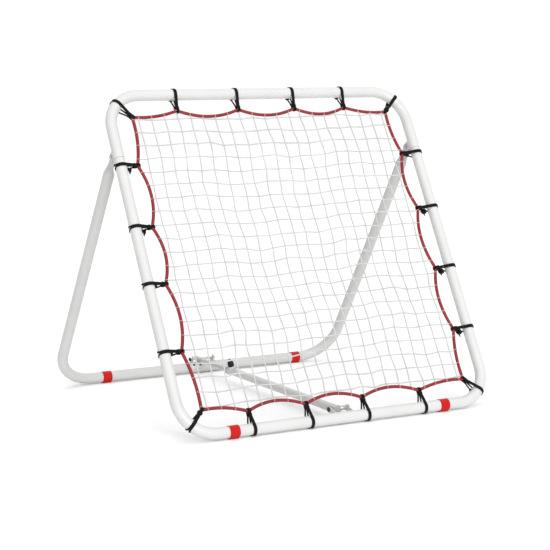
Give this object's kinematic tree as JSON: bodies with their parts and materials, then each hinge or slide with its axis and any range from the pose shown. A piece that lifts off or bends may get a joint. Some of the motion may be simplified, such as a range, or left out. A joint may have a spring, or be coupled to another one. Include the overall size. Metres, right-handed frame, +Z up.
{
  "type": "folding ball rebounder",
  "caption": "Tilted tubular frame with a square-mesh net held on elastic ties, a folding rear stand and a telescopic tilt strut with a lock knob.",
  "frame": {"origin": "bottom centre of the whole object as it stands open", "axes": "+Z up from the floor, -Y towards the player, +X to the player's right as seen from the front"},
  "size_m": [1.0062, 0.9335, 0.9107],
  "materials": {
    "white_powder_coat": "smooth satin white powder coat",
    "grey_powder_coat": "smooth satin light warm grey powder coat",
    "blackened_steel": "blackened zinc, slightly oily",
    "zinc_steel": "bright zinc plated steel",
    "grey_nylon": "moulded nylon",
    "black_plastic": "fine textured moulded plastic",
    "red_pvc": "soft satin moulded PVC",
    "net_twine": "braided polyethylene twine",
    "red_rope": "braided cover with white lacing",
    "black_elastic": "braided elastic cord"
  },
  "bodies": {
    "net_frame": {"upper_frame_tube": "white_powder_coat", "lower_frame_tube": "white_powder_coat", "frame_joint_screws": "blackened_steel", "net": "net_twine", "edge_rope": "red_rope", "front_sleeve_left": "red_pvc", "front_sleeve_right": "red_pvc", "hinge_bracket_left": "white_powder_coat", "hinge_bracket_right": "white_powder_coat", "hinge_bolt_left": "zinc_steel", "hinge_bolt_right": "zinc_steel", "hinge_nut_left": "zinc_steel", "hinge_nut_right": "zinc_steel", "strut_bracket": "white_powder_coat", "strut_bolt": "blackened_steel", "strut_nut": "blackened_steel", "strut_spacer": "zinc_steel", "corner_tie_lower_left": "black_elastic", "corner_tie_lower_right": "black_elastic", "corner_tie_upper_left": "black_elastic", "corner_tie_upper_right": "black_elastic", "bottom_tie_1": "black_elastic", "bottom_tie_2": "black_elastic", "bottom_tie_3": "black_elastic", "bottom_tie_4": "black_elastic", "right_tie_1": "black_elastic", "right_tie_2": "black_elastic", "right_tie_3": "black_elastic", "right_tie_4": "black_elastic", "top_tie_1": "black_elastic", "top_tie_2": "black_elastic", "top_tie_3": "black_elastic", "top_tie_4": "black_elastic", "left_tie_1": "black_elastic", "left_tie_2": "black_elastic", "left_tie_3": "black_elastic", "left_tie_4": "black_elastic"},
    "rear_stand": {"stand_tube_left": "grey_powder_coat", "stand_tube_right": "grey_powder_coat", "hinge_bush_left": "grey_nylon", "hinge_bush_right": "grey_nylon", "rear_sleeve_left": "red_pvc", "rear_sleeve_right": "red_pvc", "rail_coupling": "grey_powder_coat", "rail_screws": "blackened_steel", "rear_hook_ears": "grey_powder_coat"},
    "strut_outer": {"strut_bush": "grey_nylon", "strut_outer_tube": "grey_powder_coat", "strut_front_cap": "grey_nylon", "strut_collar": "grey_nylon", "lock_boss": "grey_powder_coat"},
    "strut_inner": {"strut_inner_tube": "zinc_steel", "strut_glide": "grey_nylon", "strut_cross_pin": "zinc_steel", "pin_caps": "black_plastic", "inner_end_cap": "grey_nylon"},
    "screw_washer": {"knob_washer": "blackened_steel"},
    "lock_screw": {"lock_stud": "zinc_steel", "lock_knob": "black_plastic"}
  },
  "joints": [
    {"name": "stand_fold", "type": "hinge", "parent": "net_frame", "child": "rear_stand", "pos_m": [0, -0.02675, 0.72497], "axis": [1, 0, 0], "range_deg": [-62.41, 0]},
    {"name": "strut_swing", "type": "hinge", "parent": "net_frame", "child": "strut_outer", "pos_m": [0, -0.39855, 0.0336], "axis": [1, 0, 0], "range_deg": [0, 57]},
    {"name": "strut_extend", "type": "slide", "parent": "strut_outer", "child": "strut_inner", "axis": [0, 0.9999, 0.0136], "range_m": [0, 0.15]},
    {"name": "screw_travel", "type": "slide", "parent": "strut_outer", "child": "screw_washer", "axis": [-0.2924, -0.013, 0.9562], "range_m": [0, 0.0026]},
    {"name": "knob_turn", "type": "hinge", "parent": "screw_washer", "child": "lock_screw", "pos_m": [0, 0.20839, 0.04184], "axis": [-0.2924, -0.013, 0.9562], "range_deg": [0, 720]}
  ],
  "couplings": [
    {"joint": "screw_travel", "follows": "knob_turn", "m_per_rad": 0.00019894}
  ]
}
